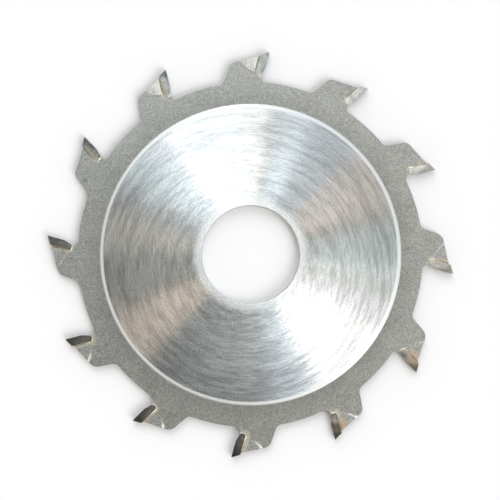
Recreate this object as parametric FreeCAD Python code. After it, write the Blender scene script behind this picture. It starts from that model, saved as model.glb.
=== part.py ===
# Grooving saw blade: a ground steel body with a raised hub, and a carbide tip brazed into the
# seat of each tooth. Units are millimetres and degrees.
# The origin is on the bore's axis, at the hub's lower face, and +Z is the axis. The first
# tooth's cutting edge lies on +Y, and the teeth point clockwise as seen from +Z.
import FreeCAD, Part
import math
import os

# The blade's nominal size
blade_diameter = 125.0
kerf = 2.0
bore_diameter = 30.0
tooth_count = 12

# The turned and ground body
hub_thickness = 3.2
plate_thickness = 1.4
hub_face_diameter = 90.2
hub_bevel_width = 1.1
bore_chamfer = 0.2

# The carbide tip, in the plane of the blade and across it
hook_angle = 10.0
top_clearance_angle = 20.0
tip_thickness = 2.5
tip_length = 8.0
tip_bevel_length = 3.0
tip_bevel_angle = 15.0
tip_corner_radius = 0.7
radial_clearance_angle = 0.75
tangential_clearance_angle = 1.5

# The tooth that carries it
tip_stand = 0.58
land_angle = 17.5
land_length = 9.05
heel_radius = 2.8
back_flank_angle = 14.3
back_root_radius = 2.3
gullet_depth = 9.5
throat_setback = 2.0
front_root_radius = 1.5

# The hollow that the side grinding leaves on each face of a tooth
side_relief_radius = 8.6
side_relief_setback = 2.4
side_relief_rise = 1.3
side_relief_depth = 0.08
side_relief_runout = 0.8

# The braze: its joint, and the bead that it leaves beside the tip
braze_joint = 0.15
braze_bead_width = 0.25
braze_bead_height = 0.18
braze_bead_edge = 0.04

tip_radius = blade_diameter / 2
bore_radius = bore_diameter / 2
hub_face_radius = hub_face_diameter / 2
gullet_floor_radius = tip_radius - gullet_depth
mid_height = hub_thickness / 2
pitch_angle = 360.0 / tooth_count
relief_floor_height = plate_thickness / 2 - side_relief_depth


def vector(x, y, z=0.0):
    return FreeCAD.Vector(x, y, z)


def leaning(angle):
    """Unit vector that points to the blade's centre and leans back from it by an angle."""
    return vector(-math.sin(math.radians(angle)), -math.cos(math.radians(angle)))


def rake_point(back, down, height=0.0):
    """Point of the first tooth, measured from its cutting edge.

    back is behind the rake face, and down is along that face, towards the blade's centre.
    """
    along = leaning(hook_angle)
    behind = vector(along.y, -along.x)
    return vector(0, tip_radius, height) + behind * back + along * down


def line_crossing(point, direction, other_point, other_direction):
    """Point where two lines of the blade's plane cross."""
    gap = other_point - point
    turn = direction.x * other_direction.y - direction.y * other_direction.x
    return point + direction * ((gap.x * other_direction.y - gap.y * other_direction.x) / turn)


def corner_arc(before, corner, after, radius):
    """Start, middle and end of the arc that rounds the corner of an outline."""
    to_before = (before - corner).normalize()
    to_after = (after - corner).normalize()
    half_angle = to_before.getAngle(to_after) / 2
    reach = radius / math.tan(half_angle)
    inward = (to_before + to_after).normalize()
    centre = corner + inward * (radius / math.sin(half_angle))
    return corner + to_before * reach, centre - inward * radius, corner + to_after * reach


def closed_outline(corners):
    """Wire of straight edges whose corners, each a point and its radius, are rounded."""
    edges = []
    arcs = []
    for index, (corner, radius) in enumerate(corners):
        before = corners[index - 1][0]
        after = corners[(index + 1) % len(corners)][0]
        if radius > 0:
            arcs.append(corner_arc(before, corner, after, radius))
        else:
            arcs.append((corner, None, corner))
    for index, (start, middle, end) in enumerate(arcs):
        if middle is not None:
            edges.append(Part.Arc(start, middle, end).toShape())
        edges.append(Part.makeLine(end, arcs[(index + 1) % len(arcs)][0]))
    return Part.Wire(edges)


def root_arc(foot, direction, to_gullet, radius):
    """Wall end, middle and floor end of the arc that joins a tooth's wall to the gullet floor.

    The wall is the line through foot, and to_gullet is its normal on the gullet's side.
    """
    start = foot + to_gullet * radius
    reach = gullet_floor_radius + radius
    along = start.dot(direction)
    away = math.sqrt(along * along - start.dot(start) + reach * reach)
    centre = start + direction * (-along - away)
    wall_end = centre - to_gullet * radius
    floor_end = centre * (gullet_floor_radius / reach)
    to_corner = ((wall_end - centre) + (floor_end - centre)).normalize()
    return wall_end, centre + to_corner * radius, floor_end


def turned(shape, index):
    """Copy of a shape of the first tooth, turned clockwise to the tooth with this index."""
    copy = shape.copy()
    copy.rotate(vector(0, 0), vector(0, 0, 1), -pitch_angle * index)
    return copy


def both_faces(shape):
    """Fuse a solid of the upper half with its mirror image below the blade's mid-plane."""
    return shape.fuse(shape.mirror(vector(0, 0, mid_height), vector(0, 0, 1)))


def prism(wire, half_height):
    """Extrude a plane outline by the same height to each side of the blade's mid-plane."""
    base = wire.copy()
    base.translate(vector(0, 0, mid_height - half_height))
    return Part.Face(base).extrude(vector(0, 0, 2 * half_height))


def tip_outline():
    """Side view of the carbide tip, from its cutting edge round to its clearance face."""
    bevel_setback = tip_bevel_length * math.tan(math.radians(tip_bevel_angle))
    return closed_outline([
        (rake_point(0, 0), 0),
        (rake_point(0, tip_length - tip_bevel_length), 0),
        (rake_point(bevel_setback, tip_length), tip_corner_radius),
        (rake_point(tip_thickness, tip_length), tip_corner_radius),
        (rake_point(tip_thickness, tip_top_drop()), 0),
    ])


def tip_top_drop():
    """How far the clearance face has fallen at the back of the tip, along the rake face."""
    return tip_thickness * math.tan(math.radians(top_clearance_angle + hook_angle))


def tip_solid():
    """Carbide tip whose two sides close in towards its back and towards the blade's centre."""
    tip = prism(tip_outline(), kerf / 2)
    waste_size = 4 * tip_length
    back_slope = math.tan(math.radians(tangential_clearance_angle))
    down_slope = math.tan(math.radians(radial_clearance_angle))
    behind = rake_point(1, 0) - rake_point(0, 0)
    along = rake_point(0, 1) - rake_point(0, 0)
    normal = behind * back_slope + along * down_slope + vector(0, 0, 1)
    waste = Part.makeBox(
        waste_size, waste_size, waste_size, vector(-waste_size / 2, -waste_size / 2, 0))
    waste.Placement = FreeCAD.Placement(
        rake_point(0, 0, mid_height + kerf / 2), FreeCAD.Rotation(vector(0, 0, 1), normal))
    lower_waste = waste.mirror(vector(0, 0, mid_height), vector(0, 0, 1))
    return tip.cut([waste, lower_waste])


def tooth_edges():
    """Outline of the first tooth before its seat is cut, and of the gullet floor behind it."""
    throat = vector(-throat_setback, tip_radius)
    land_start = rake_point(tip_thickness, tip_top_drop() + tip_stand)
    land_back = leaning(90 - land_angle)
    wall_top = line_crossing(throat, leaning(0), land_start, land_back)
    heel = land_start + land_back * land_length
    flank_down = leaning(back_flank_angle)
    wall_low, front_middle, front_floor = root_arc(
        throat, leaning(0), vector(1, 0), front_root_radius)
    heel_front, heel_middle, heel_back = corner_arc(
        land_start, heel, heel + flank_down, heel_radius)
    flank_low, back_middle, back_floor = root_arc(
        heel, flank_down, vector(flank_down.y, -flank_down.x), back_root_radius)

    next_front = FreeCAD.Rotation(vector(0, 0, 1), pitch_angle).multVec(front_floor)
    floor_middle = (back_floor + next_front).normalize() * gullet_floor_radius
    return [
        Part.Arc(front_floor, front_middle, wall_low).toShape(),
        Part.makeLine(wall_low, wall_top),
        Part.makeLine(wall_top, heel_front),
        Part.Arc(heel_front, heel_middle, heel_back).toShape(),
        Part.makeLine(heel_back, flank_low),
        Part.Arc(flank_low, back_middle, back_floor).toShape(),
        Part.Arc(back_floor, floor_middle, next_front).toShape(),
    ]


def toothed_outline():
    """Closed outline of the steel, with all of its teeth."""
    edges = []
    for index in range(tooth_count):
        edges.extend(turned(edge, -index) for edge in tooth_edges())
    return Part.Wire(edges)


def turned_disc():
    """Disc with a raised hub on both faces, bevelled down to the thinner plate."""
    plate_top = mid_height + plate_thickness / 2
    half_section = Part.Face(Part.makePolygon([
        vector(bore_radius, 0, mid_height),
        vector(bore_radius, 0, hub_thickness - bore_chamfer),
        vector(bore_radius + bore_chamfer, 0, hub_thickness),
        vector(hub_face_radius, 0, hub_thickness),
        vector(hub_face_radius + hub_bevel_width, 0, plate_top),
        vector(tip_radius, 0, plate_top),
        vector(tip_radius, 0, mid_height),
        vector(bore_radius, 0, mid_height),
    ]))
    return both_faces(half_section.revolve(vector(0, 0), vector(0, 0, 1), 360))


def side_relief():
    """Shallow dish that the side grinding cuts into the upper face of the first tooth."""
    centre = vector(-side_relief_setback, tip_radius + side_relief_rise,
                    mid_height + relief_floor_height)
    return Part.makeCone(side_relief_radius - side_relief_runout,
                         side_relief_radius + side_relief_runout,
                         2 * side_relief_depth, centre)


def blade_body():
    """Steel body: the disc cut to the toothed outline, then its tip seats and side reliefs."""
    body = turned_disc().common(prism(toothed_outline(), hub_thickness))
    seat = prism(tip_outline().makeOffset2D(braze_joint, 2), plate_thickness)
    relief = both_faces(side_relief())
    cutters = []
    for index in range(tooth_count):
        cutters.append(turned(seat, index))
        cutters.append(turned(relief, index))
    return body.cut(cutters).removeSplitter()


def braze_solid(body, tip):
    """Braze of the first tooth: it fills the joint and leaves a bead on each face."""
    bead_foot = tip_outline().makeOffset2D(braze_joint + braze_bead_width, 2)
    bead_top = tip_outline().makeOffset2D(braze_bead_edge, 2)
    core = prism(bead_foot, relief_floor_height)
    bead_foot.translate(vector(0, 0, mid_height + relief_floor_height))
    bead_top.translate(vector(0, 0, mid_height + relief_floor_height + braze_bead_height))
    bead = Part.makeLoft([bead_foot, bead_top], True, True)
    tooth = prism(toothed_outline(), kerf)
    return core.fuse(both_faces(bead)).common(tooth).cut([body, tip]).removeSplitter()


def export(node, shape):
    """Write one sub-part as a STEP file that is named after its node."""
    solid = shape.Solids[0]
    if len(shape.Solids) != 1 or not solid.isValid():
        raise ValueError(node + " is not one valid solid")
    solid.exportStep(os.path.join("parts", node + ".step"))


os.makedirs("parts", exist_ok=True)
blade = blade_body()
first_tip = tip_solid()
first_braze = braze_solid(blade, first_tip)
export("blade_body", blade)
for tooth in range(tooth_count):
    export("carbide_tip_%02d" % (tooth + 1), turned(first_tip, tooth))
    export("braze_seam_%02d" % (tooth + 1), turned(first_braze, tooth))
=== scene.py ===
import math

import bmesh
import bpy
from bpy.props import FloatProperty, FloatVectorProperty, PointerProperty
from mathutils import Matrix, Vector, noise


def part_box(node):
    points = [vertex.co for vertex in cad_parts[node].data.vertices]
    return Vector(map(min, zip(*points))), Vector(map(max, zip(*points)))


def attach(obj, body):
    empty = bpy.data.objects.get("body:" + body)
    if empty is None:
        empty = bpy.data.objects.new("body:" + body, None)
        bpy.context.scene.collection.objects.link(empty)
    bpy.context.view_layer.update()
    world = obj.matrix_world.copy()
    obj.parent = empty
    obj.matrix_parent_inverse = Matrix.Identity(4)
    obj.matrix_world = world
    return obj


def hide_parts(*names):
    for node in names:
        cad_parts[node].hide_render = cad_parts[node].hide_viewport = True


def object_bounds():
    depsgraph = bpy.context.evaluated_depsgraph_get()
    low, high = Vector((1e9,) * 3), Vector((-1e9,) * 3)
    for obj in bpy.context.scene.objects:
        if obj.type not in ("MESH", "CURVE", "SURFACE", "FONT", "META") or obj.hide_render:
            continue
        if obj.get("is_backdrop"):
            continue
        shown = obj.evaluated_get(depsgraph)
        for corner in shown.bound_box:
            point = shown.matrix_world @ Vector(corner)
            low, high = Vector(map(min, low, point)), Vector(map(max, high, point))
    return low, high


bl_info = {
    "name": "Grooving Saw Blade",
    "version": (1, 0, 0),
    "blender": (4, 5, 0),
    "location": "3D View > Sidebar > Saw Blade",
    "description": "Finishes a carbide-tipped grooving saw blade round its frame and lights it",
    "category": "Add Mesh",
}

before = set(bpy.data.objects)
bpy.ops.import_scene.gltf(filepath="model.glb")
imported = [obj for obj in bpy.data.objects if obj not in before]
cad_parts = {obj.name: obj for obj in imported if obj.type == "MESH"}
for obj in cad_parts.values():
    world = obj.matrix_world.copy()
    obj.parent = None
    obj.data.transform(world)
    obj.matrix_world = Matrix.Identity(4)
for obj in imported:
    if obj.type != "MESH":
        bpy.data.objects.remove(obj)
CAD_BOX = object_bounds()

MM = 0.001

# Points of a solid that lie nearer to each other than this are one
WELD = 2e-7
# Faces that meet at less than the first angle are one flat face, and at more than the second
# they form a corner
FLAT_ANGLE = math.radians(0.2)
CORNER_ANGLE = math.radians(15)
# A face with fewer points and a smaller area than these is part of a rounding, and is smooth
FLAT_POINTS = 5
FLAT_AREA = 1e-5

# Finishes of the steel body, in the order of its material slots
HUB, BEVEL, PLATE, EDGE, RELIEF = range(5)
# A face is level where its normal's z is over the first number, and a wall under the second
LEVEL_NORMAL = 0.98
WALL_NORMAL = 0.5
# How far a corner may lie from a circle, and a face from the hub's face, the bevel's foot and
# the plate's face, to be counted with it
CIRCLE_SLACK = 0.1 * MM
HUB_SLACK = 0.02 * MM
FOOT_SLACK = 0.5 * MM
PLATE_SLACK = 0.005 * MM

# Depth of the hub's streaks, and the points that the wheel's arcs turn round
STREAK_DEPTH = 0.05 * MM
LEFT_ARCS = (-3.0 * MM, 2.0 * MM)
RIGHT_ARCS = (4.0 * MM, 1.0 * MM)
BOLD_ARCS = (-1.0 * MM, -6.0 * MM)

# Waves of the plate's blasted grain to a metre
BLAST_WAVES = 2900.0
# The small round mark on the plate: its line fades out between two distances from its circle
MARK_CENTRE = (-52.66 * MM, 17.95 * MM)
MARK_RADIUS = 0.45 * MM
MARK_LINE = (0.22 * MM, 0.10 * MM)
MARK_COLOUR = (0.03, 0.03, 0.03)

# Depths of the side grinding where its floor ends and where its slope is fully there
RELIEF_SLOPE = (0.079 * MM, 0.070 * MM)
# Size of a tip behind its rake face and along it
TIP_THICKNESS = 2.5 * MM
TIP_LENGTH = 8.0 * MM
# Where the noise starts that gives each tooth its chance of a kind of stain, wear or painted
# highlight
TOOTH_SEEDS = {"straw": 4627.5, "copper": 48.5, "polish_and_highlight": 611.5, "run_out_highlight": 1709.5, "smear": 663.5}

# Edges of the braze that are longer than this are cut, this many times
BRAZE_STEP = 0.5 * MM
BRAZE_CUTS = 9
# Waves of the beads' feet to a metre, the seed that makes them the same each time, and the share
# of the braze's greatest height over which a point belongs to a bead
BRAZE_WAVES = 1500.0
BRAZE_SEED = 1
BEAD_SHARE = 0.7

# The darkest tone that a colour is given
DARKEST = 0.4

# The picture's side, and where the blade's axis shows in it, in pixels from its upper left corner
PICTURE_PIXELS = 500
AXIS_PIXEL = (250.4, 254.7)

# How far the floor lies under the blade
FLOOR_GAP = 0.02 * MM
# The z of a direction where the dome starts to give way to the horizon, and where it has ended
DOME_EDGE = (0.49, 0.44)
# The least that a direction leans, so that nothing is divided by zero
LEAST_LEAN = 2e-7
# How far a softbox's edge is blurred to each side, in degrees
SOFTBOX_BLUR = 1.0

# Each softbox on the studio's dome: the picture angle that it stands at and its width, the
# nearest and the farthest it leans from upright, all in degrees, its brightness and its colour
SOFTBOXES = {
    "lower_right_key": (42, 48, 22, 62, 2.9, (0.98, 0.98, 1.05)),
    "lower_right_core": (45, 30, 22, 62, 2.3, (1.0, 0.94, 0.84)),
    "lower_card": (73, 14, 22, 62, 1.1, (0.88, 1.0, 1.15)),
    "right_card": (12, 12, 22, 62, 1.65, (0.9, 0.96, 0.98)),
    "cool_right_card": (358, 24, 22, 62, 1.0, (0.7, 0.95, 1.15)),
    "upper_left_key": (256, 44, 22, 62, 3.3, (1.0, 0.98, 1.0)),
    "top_card": (288, 14, 22, 62, 2.2, (0.88, 1.0, 1.18)),
    "upper_right_card": (305, 24, 22, 62, 0.95, (0.8, 0.97, 1.24)),
    "warm_right_card": (329, 26, 22, 62, 0.9, (1.08, 0.94, 0.95)),
    "warm_left_card": (145, 20, 22, 62, 1.1, (1.2, 0.94, 0.76)),
    "left_card": (189, 18, 22, 62, 0.45, (1.15, 0.9, 0.7)),
    "left_shoulder": (228, 12, 22, 62, 0.6, (1.0, 0.9, 0.95)),
    "overhead_right": (0, 60, 12, 22, 1.05, (1.08, 1.0, 0.85)),
    "overhead_cool": (240, 60, 12, 22, 2.4, (0.82, 1.05, 1.22)),
    "overhead_top": (300, 60, 12, 22, 0.55, (1.05, 1.05, 0.85)),
    "overhead_left": (180, 60, 12, 22, 0.5, (0.97, 1.0, 0.98)),
    "upright_top": (234, 54, 2, 12, 1.1, (0.92, 1.0, 1.05)),
    "upright_upper_right": (283, 44, 2, 12, 2.3, (1.0, 1.0, 0.97)),
    "upright_right": (324, 38, 2, 12, 1.2, (1.0, 1.0, 1.0)),
    "upright_lower_right": (358, 30, 2, 12, 0.75, (1.15, 0.92, 0.7)),
    "upright_left": (145, 100, 2, 12, 0.17, (1.1, 1.0, 0.85)),
    "horizon_top": (245, 70, 62, 90, 0.3, (0.85, 1.0, 1.15)),
}


def measure_body():
    """Sizes of the blade, read from its solids."""
    places = [v.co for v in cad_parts["blade_body"].data.vertices]
    points = [(math.hypot(place.x, place.y), place.z) for place in places]
    top = max(z for r, z in points)
    hub = max(r for r, z in points if z > top - WELD)
    beyond = [(r, z) for r, z in points if r > hub + WELD]
    plate_top = max(z for r, z in beyond)
    return {
        "mid_height": top / 2,
        "bore_radius": min(r for r, z in points),
        "hub_radius": hub,
        "plate_top": plate_top,
        "plate_start": min(r for r, z in beyond if z > plate_top - WELD),
        "tip_radius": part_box("carbide_tip_01")[1].y,
    }


BODY = measure_body()
TIP_NODES = sorted(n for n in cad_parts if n.startswith("carbide_tip"))
BRAZE_NODES = sorted(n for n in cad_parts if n.startswith("braze_seam"))
TOOTH_COUNT = len(TIP_NODES)
PITCH = math.tau / TOOTH_COUNT


class SteelSettings(bpy.types.PropertyGroup):
    """Sizes and colours of the steel body's finish."""
    hub_rim_radius: FloatProperty(
        name="Hub Rim", description="Rounding of the raised hub's outer corner",
        default=0.00012, unit="LENGTH")
    hub_foot_radius: FloatProperty(
        name="Hub Foot", description="Rounding where the hub's bevel meets the plate",
        default=0.00015, unit="LENGTH")
    edge_radius: FloatProperty(
        name="Edges", description="Rounding of every other corner of the steel",
        default=0.00006, unit="LENGTH")
    streak_lean: FloatProperty(
        name="Streak Lean", description="How steeply the hub's streaks lean outwards",
        default=0.10)
    hub_colour: FloatVectorProperty(
        name="Hub", description="Colour of the ground hub and its bevel",
        default=(0.69, 0.705, 0.685), size=3, subtype="COLOR")
    plate_colour: FloatVectorProperty(
        name="Plate", description="Colour of the blasted plate and the teeth",
        default=(0.345, 0.343, 0.312), size=3, subtype="COLOR")
    straw_colour: FloatVectorProperty(
        name="Straw Tint", description="Colour that brazing leaves on the steel beside a tip",
        default=(0.64, 0.58, 0.47), size=3, subtype="COLOR")
    copper_colour: FloatVectorProperty(
        name="Copper Tint", description="Colour of the stains close to the braze",
        default=(0.49, 0.37, 0.26), size=3, subtype="COLOR")


class ToothSettings(bpy.types.PropertyGroup):
    """Sizes and colours of the tips and their braze."""
    hook_angle: FloatProperty(
        name="Hook Angle", description="Lean of the rake face from the radius",
        default=math.radians(10), subtype="ANGLE", unit="ROTATION")
    tip_edge_radius: FloatProperty(
        name="Tip Edges", description="Rounding of the carbide's ground corners",
        default=0.00002, unit="LENGTH")
    carbide_colour: FloatVectorProperty(
        name="Carbide", description="Colour of the ground carbide",
        default=(0.325, 0.325, 0.305), size=3, subtype="COLOR")
    braze_ripple: FloatProperty(
        name="Braze Ripple", description="How far the edge of the braze wanders",
        default=0.00008, unit="LENGTH")
    braze_colour: FloatVectorProperty(
        name="Braze", description="Colour of the braze metal",
        default=(0.58, 0.53, 0.42), size=3, subtype="COLOR")
    stain_colour: FloatVectorProperty(
        name="Flux Stain", description="Colour of the braze where flux has stained it",
        default=(0.33, 0.26, 0.17), size=3, subtype="COLOR")
    film_colour: FloatVectorProperty(
        name="Heat Film", description="Colour of the carbide where heat has tinted it",
        default=(0.42, 0.31, 0.21), size=3, subtype="COLOR")


class StudioSettings(bpy.types.PropertyGroup):
    """Place of the camera, and the looks of the floor and the dome."""
    camera_height: FloatProperty(
        name="Camera Height", description="Height of the camera over the blade",
        default=0.45, unit="LENGTH")
    camera_roll: FloatProperty(
        name="Camera Roll", description="Turn of the first tooth from the picture's top",
        default=math.radians(5.4), subtype="ANGLE", unit="ROTATION")
    pixels_per_metre: FloatProperty(
        name="Picture Scale", description="Pixels of the picture to a metre of the blade",
        default=3250.0)
    floor_size: FloatProperty(
        name="Floor", description="Side of the square floor", default=6.0, unit="LENGTH")
    floor_colour: FloatVectorProperty(
        name="Floor Colour", description="Colour of the matt floor",
        default=(0.785, 0.78, 0.76), size=3, subtype="COLOR")
    dome_brightness: FloatProperty(
        name="Dome", description="Brightness of the dome overhead", default=0.045)
    horizon_brightness: FloatProperty(
        name="Horizon", description="Brightness of the dome near the floor", default=1.05)


class Value:
    """A socket of a material: sums on it add the Math nodes that work them out."""

    def __init__(self, paint, node, output=0):
        self.paint = paint
        self.node = node
        self.output = output

    def work(self, operation, *values):
        return self.paint.add("Math", {"operation": operation}, dict(enumerate(values)))

    def __add__(self, other):
        return self.work("ADD", self, other)

    def __radd__(self, other):
        return self.work("ADD", other, self)

    def __sub__(self, other):
        return self.work("SUBTRACT", self, other)

    def __rsub__(self, other):
        return self.work("SUBTRACT", other, self)

    def __mul__(self, other):
        return self.work("MULTIPLY", self, other)

    def __rmul__(self, other):
        return self.work("MULTIPLY", other, self)

    def __truediv__(self, other):
        return self.work("DIVIDE", self, other)

    def __rtruediv__(self, other):
        return self.work("DIVIDE", other, self)

    def __abs__(self):
        return self.work("ABSOLUTE", self)

    def __round__(self):
        return self.work("ROUND", self)

    def root(self):
        return self.work("SQRT", self)

    def cosine(self):
        return self.work("COSINE", self)

    def sine(self):
        return self.work("SINE", self)

    def at_least(self, other):
        return self.work("MAXIMUM", self, other)

    def ramp(self, start, end, low=0.0, high=1.0):
        """Goes smoothly from low to high while this value goes from start to end."""
        return self.paint.add("MapRange", {"interpolation_type": "SMOOTHSTEP"}, {
            "Value": self, "From Min": start, "From Max": end, "To Min": low, "To Max": high})


class Paint:
    """The nodes of one material or world."""

    def __init__(self, owner):
        self.owner = owner
        owner.use_nodes = True
        self.tree = owner.node_tree
        self.tree.nodes.clear()

    def add(self, kind, settings=None, values=None, output=0):
        """Adds a node: its settings first, then what goes into its sockets."""
        node = self.tree.nodes.new("ShaderNode" + kind)
        for name, setting in (settings or {}).items():
            setattr(node, name, setting)
        for name, value in (values or {}).items():
            if isinstance(value, Value):
                self.tree.links.new(value.node.outputs[value.output], node.inputs[name])
            else:
                node.inputs[name].default_value = value
        return Value(self, node, output)

    def mix(self, share, first, second):
        """Colour between two colours, by a share from 0 to 1.

        The node has more sockets with the same names, so its colour sockets go by their numbers.
        """
        return self.add("Mix", {"data_type": "RGBA", "clamp_factor": True},
                        {0: share, 6: first, 7: second}, output=2)

    def shades(self, share, rgb, dark, light):
        """Colour between a darker and a lighter shade of one colour, by a share from 0 to 1."""
        return self.mix(share, colour(rgb, dark), colour(rgb, light))

    def toned(self, rgb, tone):
        """A colour made darker or lighter by a tone that varies over the surface."""
        return self.shades(tone - DARKEST, rgb, DARKEST, DARKEST + 1.0)

    def place(self):
        """Where the surface is, in metres from the blade's origin."""
        return self.add("TexCoord", output="Object")

    def axes(self, vector):
        """The x, y and z of a vector."""
        return [self.add("SeparateXYZ", {}, {0: vector}, output=axis) for axis in range(3)]

    def point(self, x, y, z):
        """The vector that has this x, y and z."""
        return self.add("CombineXYZ", {}, {0: x, 1: y, 2: z})

    def grain(self, where, scale, detail=2.0, roughness=0.5):
        """Noise from 0 to 1, with this many waves to a unit of where."""
        return self.add("TexNoise", {}, {
            "Vector": where, "Scale": scale, "Detail": detail, "Roughness": roughness})

    def bump(self, height, depth, strength=1.0):
        """Relief as deep as this, in metres, where a height goes from 0 to 1."""
        return self.add("Bump", {}, {"Strength": strength, "Distance": depth, "Height": height})

    def finish(self, surface, kind="Material"):
        """Gives the material or world its surface, and hands it back."""
        self.add("Output" + kind, {}, {"Surface": surface})
        return self.owner


def colour(rgb, shade=1.0):
    """Four numbers of a colour, made lighter or darker by a shade."""
    return (rgb[0] * shade, rgb[1] * shade, rgb[2] * shade, 1.0)


def distance(x, y):
    """How far the surface is from where x and y are both 0."""
    return (x * x + y * y).root()


def outside(value, size):
    """How far a value lies outside of the stretch from 0 to a size."""
    return (abs(value - size / 2) - size / 2).at_least(0.0)


def circular_grain(paint, x, y, layer, length, width):
    """Noise in streaks along the circles round where x and y are both 0.

    layer picks a part of the noise, length is a streak's length as an angle, and width is its
    width in metres.
    """
    angle = x.work("ARCTAN2", y, x)
    across = distance(x, y) / width + layer
    return paint.grain(paint.point(angle.cosine() / length, angle.sine() / length, across), 1.0)


def metal(paint, base, roughness, bump=None, others=None):
    """Metal surface whose colour, roughness and bump may vary over it."""
    values = {"Base Color": base, "Roughness": roughness, "Metallic": 1.0}
    if bump is not None:
        values["Normal"] = bump
    return paint.add("BsdfPrincipled", {}, {**values, **(others or {})})


def hub_steel(steel):
    """Ground hub: streaks round the axis, crossed by the wheel's arcs, and rubbed beside the bore
    with a painted highlight there.
    """
    paint = Paint(bpy.data.materials.new("ground_hub_steel"))
    place = paint.place()
    x, y, z = paint.axes(place)
    from_bore = distance(x, y) - BODY["bore_radius"]

    def streaks(layer, length, width, centre=(0.0, 0.0)):
        return circular_grain(
            paint, x - centre[0], y - centre[1], z * 900.0 + layer, length, width)

    fine = streaks(0.0, length=0.06, width=0.22 * MM)
    long = streaks(5.0, length=0.22, width=0.60 * MM)
    left_arcs = streaks(7.0, length=0.12, width=0.40 * MM, centre=LEFT_ARCS)
    right_arcs = streaks(9.0, length=0.12, width=0.40 * MM, centre=RIGHT_ARCS)
    bold_arcs = streaks(11.0, length=0.35, width=1.30 * MM, centre=BOLD_ARCS)
    sparkle = paint.grain(place, 2600.0, roughness=0.7)
    streak = fine * 0.35 + long * 0.2 + left_arcs * 0.25 + right_arcs * 0.2

    tone = streak.ramp(0.40, 0.60, 0.84, 1.12) * (1.0 - from_bore.ramp(11.0 * MM, 28.0 * MM) * 0.2)
    tone = tone * bold_arcs.ramp(0.40, 0.56, 0.84, 1.04) + sparkle.ramp(0.54, 0.70, 0.0, 0.16)
    base = paint.toned(steel.hub_colour, tone)
    height = streak * 0.35 + bold_arcs * 0.8 - from_bore * (steel.streak_lean / STREAK_DEPTH)
    ground = metal(paint, base, 0.27 + (streak - 0.5) * 0.10, paint.bump(height, STREAK_DEPTH),
                   {"Anisotropic": 1.0, "Anisotropic Rotation": 0.25})

    # Ring beside the bore: truly rubbed smooth, and its colour made lighter towards the bore as a
    # painted highlight.
    painted_bore_highlight = from_bore.ramp(5.0 * MM, 0.8 * MM)
    worn_and_highlight = metal(paint, paint.mix(painted_bore_highlight, base, colour(steel.hub_colour, 1.45)), 0.34)
    wear_and_highlight = (from_bore + (streak - 0.5) * (0.4 * MM)).ramp(3.7 * MM, 1.0 * MM, 0.0, 0.65)
    return paint.finish(paint.add("MixShader", {}, {0: wear_and_highlight, 1: ground, 2: worn_and_highlight}))


def bevel_steel(steel):
    """Turned bevel of the hub, and the wall of the bore, with a painted highlight along the bevel's
    middle.
    """
    paint = Paint(bpy.data.materials.new("turned_bevel_steel"))
    x, y, z = paint.axes(paint.place())
    rings = circular_grain(paint, x, y, z * 6000.0, length=0.6, width=0.15 * MM)
    middle = (BODY["hub_radius"] + BODY["plate_start"]) / 2
    # Painted highlight: the colour is lighter along the middle of the bevel and darker towards its
    # edges.
    painted_crest_highlight = abs(distance(x, y) - middle).ramp(0.6 * MM, 0.1 * MM)
    base = paint.shades(rings * 0.3 + painted_crest_highlight * 0.7, steel.hub_colour, 0.72, 1.22)
    return paint.finish(metal(paint, base, 0.36 + rings * 0.10))


def tooth_place(x, y, teeth):
    """Place on the nearest tooth: behind its rake face and down it, in metres, and its number.

    The teeth are numbered clockwise as seen from +Z, from 0 for the first.
    """
    radius = distance(x, y)
    angle = x.work("ARCTAN2", x, y)
    number = round(angle / PITCH)
    turned = angle - number * PITCH
    across = radius * turned.sine()
    drop = radius * turned.cosine() - BODY["tip_radius"]
    hook_sine = math.sin(teeth.hook_angle)
    hook_cosine = math.cos(teeth.hook_angle)
    behind = drop * hook_sine - across * hook_cosine
    down = drop * -hook_cosine - across * hook_sine
    return behind, down, number.work("FLOORED_MODULO", number, TOOTH_COUNT)


def tooth_chance(number, kind):
    """A number from 0 to 1 that differs from tooth to tooth, for one kind of stain, wear or painted
    highlight.
    """
    return number.paint.add(
        "TexWhiteNoise", {"noise_dimensions": "1D"}, {"W": number + TOOTH_SEEDS[kind]})


def heat_tint(paint, place, tooth, plain, steel):
    """Colour of steel that is straw-coloured, and blotched with copper, close to a tip."""
    behind, down, number = tooth
    blotch = paint.grain(place, 1100.0, 3.0, 0.65)
    away = distance(outside(behind, TIP_THICKNESS), outside(down, TIP_LENGTH))
    edge = away + (blotch - 0.5) * (1.6 * MM)
    reach = 0.4 * MM + tooth_chance(number, "straw") * (1.4 * MM)
    straw = (reach - edge).ramp(0.0, 0.9 * MM, 0.0, 0.6)
    chance = tooth_chance(number, "copper")
    copper = (chance * (3.2 * MM) - edge).ramp(0.0, 1.2 * MM) * down.ramp(7.0 * MM, 4.4 * MM)
    copper = copper * blotch.ramp(0.32, 0.54) * chance.ramp(0.3, 0.8)
    tinted = paint.mix(straw, plain, colour(steel.straw_colour))
    return paint.mix(copper, tinted, colour(steel.copper_colour))


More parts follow.
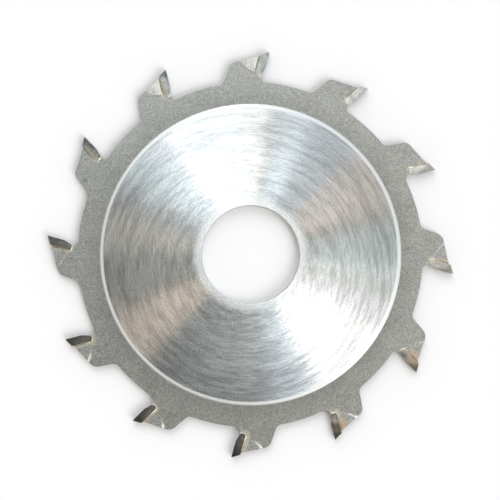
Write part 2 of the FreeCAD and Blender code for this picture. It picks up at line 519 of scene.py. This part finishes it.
def plate_steel(steel, teeth):
    """Blasted plate and teeth: a sparkling grain, with painted shade that darkens it near the hub.
    """
    paint = Paint(bpy.data.materials.new("blasted_plate_steel"))
    place = paint.place()
    x, y, z = paint.axes(place)
    fine = paint.grain(place, BLAST_WAVES, roughness=0.7)
    broad = paint.grain(place, 900.0, roughness=0.6)
    cloud = paint.grain(place, 110.0)
    tone = (fine * 0.72 + broad * 0.16 + cloud * 0.12).ramp(0.38, 0.62, 0.74, 1.22)
    # Painted shade: the plate is darker towards the foot of the raised hub, as if the step shaded
    # it.
    hub_shade_distance = distance(x, y) - BODY["plate_start"]
    tone = tone * hub_shade_distance.ramp(-0.4 * MM, 5.8 * MM, 0.90, 1.04)
    plain = paint.toned(steel.plate_colour, tone)
    base = heat_tint(paint, place, tooth_place(x, y, teeth), plain, steel)

    from_mark = distance(x - MARK_CENTRE[0], y - MARK_CENTRE[1])
    mark = abs(from_mark - MARK_RADIUS).ramp(*MARK_LINE)
    upper_face = z.ramp(BODY["mid_height"], BODY["plate_top"])
    base = paint.mix(mark * upper_face * 0.45, base, colour(MARK_COLOUR))
    bump = paint.bump(fine + broad, 0.04 * MM)
    return paint.finish(metal(paint, base, 0.35 + (fine - 0.5) * 0.25, bump))


def relief_steel(steel, teeth):
    """Side grinding behind each tip: near the plate's tone, with polished patches and painted
    highlights on some teeth.
    """
    paint = Paint(bpy.data.materials.new("relief_ground_steel"))
    place = paint.place()
    x, y, z = paint.axes(place)
    behind, down, number = tooth_place(x, y, teeth)
    lines = paint.grain(paint.point(behind * 500.0, down * 3500.0, number), 1.0)
    fine = paint.grain(place, BLAST_WAVES, roughness=0.7)
    broad = paint.grain(place, 500.0)
    sunk = (BODY["plate_top"] - BODY["mid_height"]) - abs(z - BODY["mid_height"])
    slope = sunk.ramp(*RELIEF_SLOPE)
    # Polished patches near the tip on some teeth, also painted near-white as a painted highlight.
    polish_and_highlight = behind.ramp(10.5 * MM, 3.0 * MM) * (broad * 0.6 + fine * 0.4).ramp(0.25, 0.55)
    polish_and_highlight = polish_and_highlight * (1.0 - slope) * tooth_chance(number, "polish_and_highlight").ramp(0.78, 0.86)
    # Painted highlight: a bright crescent on the slope where the side grinding runs out, on some
    # teeth.
    run_out_highlight = slope * (down + broad * (3.0 * MM)).ramp(8.4 * MM, 6.4 * MM)
    run_out_highlight = run_out_highlight * tooth_chance(number, "run_out_highlight").ramp(0.35, 1.0)

    tone = (lines * 0.2 + fine * 0.8).ramp(0.38, 0.62, 0.10, 0.85)
    plain = paint.shades(tone, steel.plate_colour, 0.6, 1.4)
    plain = paint.mix(polish_and_highlight * 0.5 + run_out_highlight, plain, colour(steel.plate_colour, 2.8))
    base = heat_tint(paint, place, (behind, down, number), plain, steel)
    roughness = 0.42 + slope * 0.2 + (fine - 0.5) * 0.2
    return paint.finish(metal(paint, base, roughness, paint.bump(lines + fine, 0.03 * MM)))


def edge_steel(steel):
    """Cut walls of the teeth, gullets and seats, with fine lines across the plate."""
    paint = Paint(bpy.data.materials.new("cut_edge_steel"))
    x, y, z = paint.axes(paint.place())
    lines = paint.grain(paint.point(x * 4000.0, y * 4000.0, z * 300.0), 1.0)
    base = paint.shades(lines, steel.plate_colour, 0.8, 1.15)
    bump = paint.bump(lines, 0.03 * MM, strength=0.6)
    return paint.finish(metal(paint, base, 0.34 + lines * 0.12, bump))


def carbide(teeth):
    """Ground carbide: dark and nearly mirror-like, with a paler foot and some smears of braze."""
    paint = Paint(bpy.data.materials.new("ground_carbide"))
    place = paint.place()
    x, y, z = paint.axes(place)
    behind, down, number = tooth_place(x, y, teeth)
    lines = paint.grain(paint.point(behind * 2200.0, down * 350.0, number + z * 3000.0), 1.0)
    speckle = paint.grain(place, 1500.0, roughness=0.6)
    swell = paint.grain(place, 200.0, detail=1.0)
    ragged = paint.grain(place, 800.0, 3.0, 0.7)

    back = behind.ramp(0.3 * MM, 1.5 * MM) * down.ramp(0.6 * MM, 3.4 * MM)
    share = lines.ramp(0.3, 0.7) * 0.35 + back * 0.65
    base = paint.shades(share, teeth.carbide_colour, 0.72, 1.18)
    foot = (down + behind * 1.2).ramp(1.0 * MM, 9.5 * MM)
    bright = (speckle * 0.5 + lines * 0.5).ramp(0.35, 0.65, 0.3, 1.0) * foot
    base = paint.mix(bright * 0.5, base, colour(teeth.carbide_colour, 1.9))

    smear = (behind + (ragged - 0.5) * (5.0 * MM)).ramp(0.9 * MM, 1.8 * MM)
    smear = smear * down.ramp(1.0 * MM, 4.0 * MM) * tooth_chance(number, "smear").ramp(0.75, 0.9)
    cover = smear * ragged.ramp(0.3, 0.55, 0.45, 0.9)
    base = paint.mix(cover, base, colour(teeth.braze_colour, 0.66))
    film = behind.ramp(0.4 * MM, 2.2 * MM) * down.ramp(7.0 * MM, 4.4 * MM)
    film = film * tooth_chance(number, "copper").ramp(0.55, 0.85, 0.0, 0.7)
    base = paint.mix(film, base, colour(teeth.film_colour))

    bump = paint.bump(swell + (lines + speckle * foot) * 0.03, 0.2 * MM)
    roughness = 0.14 + foot * 0.04 + lines * 0.04 + smear * 0.2
    return paint.finish(metal(paint, base, roughness, bump))


def braze_metal(teeth):
    """Braze: golden where it is clean, brown where flux has stained it, with a dull skin."""
    paint = Paint(bpy.data.materials.new("braze_metal"))
    place = paint.place()
    x, y, z = paint.axes(place)
    behind, down, number = tooth_place(x, y, teeth)
    blotch = paint.grain(place, 1300.0, 3.0, 0.65)
    stain = (blotch + down.ramp(7.0 * MM, 2.0 * MM) * 0.16).ramp(0.48, 0.66)
    clean = paint.shades(blotch.ramp(0.35, 0.6), teeth.braze_colour, 0.85, 1.15)
    base = paint.mix(stain, clean, colour(teeth.stain_colour))
    return paint.finish(metal(paint, base, 0.32 + blotch * 0.2, paint.bump(blotch, 0.04 * MM)))


def merged_copy(node):
    """A mesh of a solid's surface, with its loose triangles joined and its flats made whole."""
    bm = bmesh.new()
    bm.from_mesh(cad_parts[node].data)
    bmesh.ops.remove_doubles(bm, verts=bm.verts, dist=WELD)
    bmesh.ops.dissolve_limit(bm, angle_limit=FLAT_ANGLE, verts=bm.verts, edges=bm.edges)
    return bm


def ease_corners(bm, edges, radius, segments):
    """Rounds these edges."""
    bmesh.ops.bevel(bm, geom=edges, offset=radius, offset_type="OFFSET", affect="EDGES",
                    segments=segments, profile=0.5, material=-1, clamp_overlap=False)


def corners(bm):
    """The edges where two faces meet at an angle."""
    return [e for e in bm.edges if e.is_manifold and e.calc_face_angle() > CORNER_ANGLE]


def corners_on_circle(bm, radius):
    """The corners that lie on a circle round the blade's axis."""
    found = []
    for edge in corners(bm):
        ends = [math.hypot(v.co.x, v.co.y) for v in edge.verts]
        if abs(sum(ends) / 2 - radius) < CIRCLE_SLACK:
            found.append(edge)
    return found


def add_piece(bm, name, materials):
    """Makes the finished mesh an object that rides on the blade."""
    mesh = bpy.data.meshes.new(name)
    for face in bm.faces:
        face.smooth = len(face.verts) < FLAT_POINTS and face.calc_area() < FLAT_AREA
    bm.to_mesh(mesh)
    bm.free()
    for material in materials:
        mesh.materials.append(material)
    piece = bpy.data.objects.new(name, mesh)
    bpy.context.scene.collection.objects.link(piece)
    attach(piece, "root")
    return piece


class SAWBLADE_OT_steel_body(bpy.types.Operator):
    """Adds the steel body, with its corners eased and each zone in its own finish"""
    bl_idname = "saw_blade.steel_body"
    bl_label = "Steel Body"
    bl_options = {"REGISTER", "UNDO"}

    def execute(self, context):
        steel = context.scene.saw_blade_steel
        teeth = context.scene.saw_blade_teeth
        bm = merged_copy("blade_body")
        rim = corners_on_circle(bm, BODY["hub_radius"])
        foot = corners_on_circle(bm, BODY["plate_start"])
        ease_corners(bm, rim, steel.hub_rim_radius, segments=4)
        ease_corners(bm, foot, steel.hub_foot_radius, segments=4)
        ease_corners(bm, corners(bm), steel.edge_radius, segments=3)
        for face in bm.faces:
            face.material_index = self.zone(face)
        piece = add_piece(bm, "finished_blade_body", [
            hub_steel(steel), bevel_steel(steel), plate_steel(steel, teeth), edge_steel(steel),
            relief_steel(steel, teeth)])
        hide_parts("blade_body")
        return {"FINISHED"}

    def zone(self, face):
        """The finish that a face has."""
        height = abs(face.calc_center_median().z - BODY["mid_height"])
        radius = max(math.hypot(v.co.x, v.co.y) for v in face.verts)
        level = abs(face.normal.z) > LEVEL_NORMAL
        if level and height > BODY["mid_height"] - HUB_SLACK:
            return HUB
        if radius < BODY["plate_start"] + FOOT_SLACK:
            return BEVEL
        if level and height < BODY["plate_top"] - BODY["mid_height"] - PLATE_SLACK:
            return RELIEF
        return PLATE if abs(face.normal.z) > WALL_NORMAL else EDGE


class SAWBLADE_OT_carbide_tips(bpy.types.Operator):
    """Adds the carbide tips, with their ground corners eased"""
    bl_idname = "saw_blade.carbide_tips"
    bl_label = "Carbide Tips"
    bl_options = {"REGISTER", "UNDO"}

    def execute(self, context):
        teeth = context.scene.saw_blade_teeth
        finish = carbide(teeth)
        for node in TIP_NODES:
            bm = merged_copy(node)
            ease_corners(bm, corners(bm), teeth.tip_edge_radius, segments=2)
            piece = add_piece(bm, "finished_" + node, [finish])
            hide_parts(node)
        return {"FINISHED"}


class SAWBLADE_OT_braze_seams(bpy.types.Operator):
    """Adds the braze round each tip"""
    bl_idname = "saw_blade.braze_seams"
    bl_label = "Braze Seams"
    bl_options = {"REGISTER", "UNDO"}

    def execute(self, context):
        teeth = context.scene.saw_blade_teeth
        finish = braze_metal(teeth)
        for node in BRAZE_NODES:
            bm = merged_copy(node)
            long_edges = [e for e in bm.edges if e.calc_length() > BRAZE_STEP]
            bmesh.ops.subdivide_edges(bm, edges=long_edges, cuts=BRAZE_CUTS, use_grid_fill=True)
            self.roughen(bm, teeth.braze_ripple)
            piece = add_piece(bm, "finished_" + node, [finish])
            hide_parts(node)
        return {"FINISHED"}

    def roughen(self, bm, ripple):
        """Makes the foot of each bead wander over the steel, as solder does."""
        noise.seed_set(BRAZE_SEED)
        heights = {v: abs(v.co.z - BODY["mid_height"]) for v in bm.verts}
        painted_crest_highlight = max(heights.values())
        for vertex, height in heights.items():
            if BEAD_SHARE * painted_crest_highlight < height < painted_crest_highlight - WELD:
                wander = noise.noise_vector(vertex.co * BRAZE_WAVES)
                vertex.co += Vector((wander.x, wander.y, 0)) * ripple


class SAWBLADE_OT_studio(bpy.types.Operator):
    """Adds the pale floor, the soft light and the camera"""
    bl_idname = "saw_blade.studio"
    bl_label = "Studio"
    bl_options = {"REGISTER", "UNDO"}

    def execute(self, context):
        studio = context.scene.saw_blade_studio
        self.add_floor(context, studio)
        self.add_world(context, studio)
        self.add_camera(context, studio)
        context.scene.view_settings.view_transform = "Standard"
        return {"FINISHED"}

    def add_floor(self, context, studio):
        """Lays the matt floor under the blade."""
        bm = bmesh.new()
        bmesh.ops.create_grid(bm, x_segments=1, y_segments=1, size=studio.floor_size / 2)
        bmesh.ops.translate(bm, verts=bm.verts, vec=(0, 0, -FLOOR_GAP))
        mesh = bpy.data.meshes.new("floor")
        bm.to_mesh(mesh)
        bm.free()
        paint = Paint(bpy.data.materials.new("pale_floor"))
        matt = paint.add("BsdfDiffuse", {}, {"Color": colour(studio.floor_colour)})
        mesh.materials.append(paint.finish(matt))
        floor = bpy.data.objects.new("floor", mesh)
        context.scene.collection.objects.link(floor)
        floor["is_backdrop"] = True

    def add_world(self, context, studio):
        """Surrounds the blade with the studio's dome and its softboxes, unseen by the camera."""
        paint = Paint(bpy.data.worlds.new("white_studio"))
        x, y, z = paint.axes(paint.add("TexCoord", output="Generated"))
        lean = distance(x, y).at_least(LEAST_LEAN)
        shade = z.ramp(*DOME_EDGE, studio.dome_brightness, studio.horizon_brightness)
        light = paint.point(shade, shade, shade)
        for angle, width, near, far, brightness, rgb in SOFTBOXES.values():
            turn = studio.camera_roll - math.radians(angle)
            facing = (x * math.cos(turn) + y * math.sin(turn)) / lean
            patch = self.under(z, far) * self.under(z, near, -SOFTBOX_BLUR)
            patch = patch * self.under(facing, width / 2) * brightness
            tinted = paint.add("VectorMath", {"operation": "SCALE"}, {0: rgb, "Scale": patch})
            light = paint.add("VectorMath", {"operation": "ADD"}, {0: light, 1: tinted})
        camera = paint.add("LightPath", output="Is Camera Ray")
        dome = paint.add("Background", {}, {"Color": light, "Strength": 1.0})
        seen = paint.add("Background", {}, {"Color": (1.0, 1.0, 1.0, 1.0), "Strength": 1.0})
        both = paint.add("MixShader", {}, {0: camera, 1: dome, 2: seen})
        context.scene.world = paint.finish(both, "World")

    def under(self, cosine, angle, blur=SOFTBOX_BLUR):
        """1 where an angle, given by its cosine, is under this one in degrees, and 0 over it.

        A blur below 0 turns that round.
        """
        return cosine.ramp(*[math.cos(math.radians(angle + step)) for step in (blur, -blur)])

    def add_camera(self, context, studio):
        """Puts the camera over the blade, rolled so that the first tooth lies as in the picture."""
        lens = bpy.data.cameras.new("camera")
        width = PICTURE_PIXELS / studio.pixels_per_metre
        lens.lens = lens.sensor_width * studio.camera_height / width
        lens.clip_start = 0.01
        lens.clip_end = 100.0
        camera = bpy.data.objects.new("camera", lens)
        right = Vector((math.cos(studio.camera_roll), math.sin(studio.camera_roll), 0))
        up = Vector((-right.y, right.x, 0))
        off_right, off_down = [
            (pixel - PICTURE_PIXELS / 2) / studio.pixels_per_metre for pixel in AXIS_PIXEL]
        camera.location = up * off_down - right * off_right
        camera.location.z = BODY["mid_height"] + studio.camera_height
        camera.rotation_euler = (0, 0, studio.camera_roll)
        context.scene.collection.objects.link(camera)
        context.scene.camera = camera


class SAWBLADE_PT_panel(bpy.types.Panel):
    """Lists the blade's pieces and its studio"""
    bl_idname = "SAWBLADE_PT_panel"
    bl_label = "Saw Blade"
    bl_space_type = "VIEW_3D"
    bl_region_type = "UI"
    bl_category = "Saw Blade"

    def draw(self, context):
        for operator in OPERATORS:
            self.layout.operator(operator.bl_idname)
        for group in SETTINGS:
            settings = getattr(context.scene, group)
            for name in settings.bl_rna.properties.keys():
                if name not in {"rna_type", "name"}:
                    self.layout.prop(settings, name)


SETTINGS = {
    "saw_blade_steel": SteelSettings,
    "saw_blade_teeth": ToothSettings,
    "saw_blade_studio": StudioSettings,
}
OPERATORS = [
    SAWBLADE_OT_steel_body,
    SAWBLADE_OT_carbide_tips,
    SAWBLADE_OT_braze_seams,
    SAWBLADE_OT_studio,
]
CLASSES = [*SETTINGS.values(), *OPERATORS, SAWBLADE_PT_panel]


def register():
    for item in CLASSES:
        bpy.utils.register_class(item)
    for name, group in SETTINGS.items():
        setattr(bpy.types.Scene, name, PointerProperty(type=group))


def unregister():
    for name in SETTINGS:
        delattr(bpy.types.Scene, name)
    for item in reversed(CLASSES):
        bpy.utils.unregister_class(item)


def main():
    register()
    bpy.ops.saw_blade.steel_body()
    bpy.ops.saw_blade.carbide_tips()
    bpy.ops.saw_blade.braze_seams()
    bpy.ops.saw_blade.studio()
    boxes = {"cad": CAD_BOX, "visual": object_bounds()}
    {name: [list(corner) for corner in box] for name, box in boxes.items()}


if __name__ == "__main__":
    main()
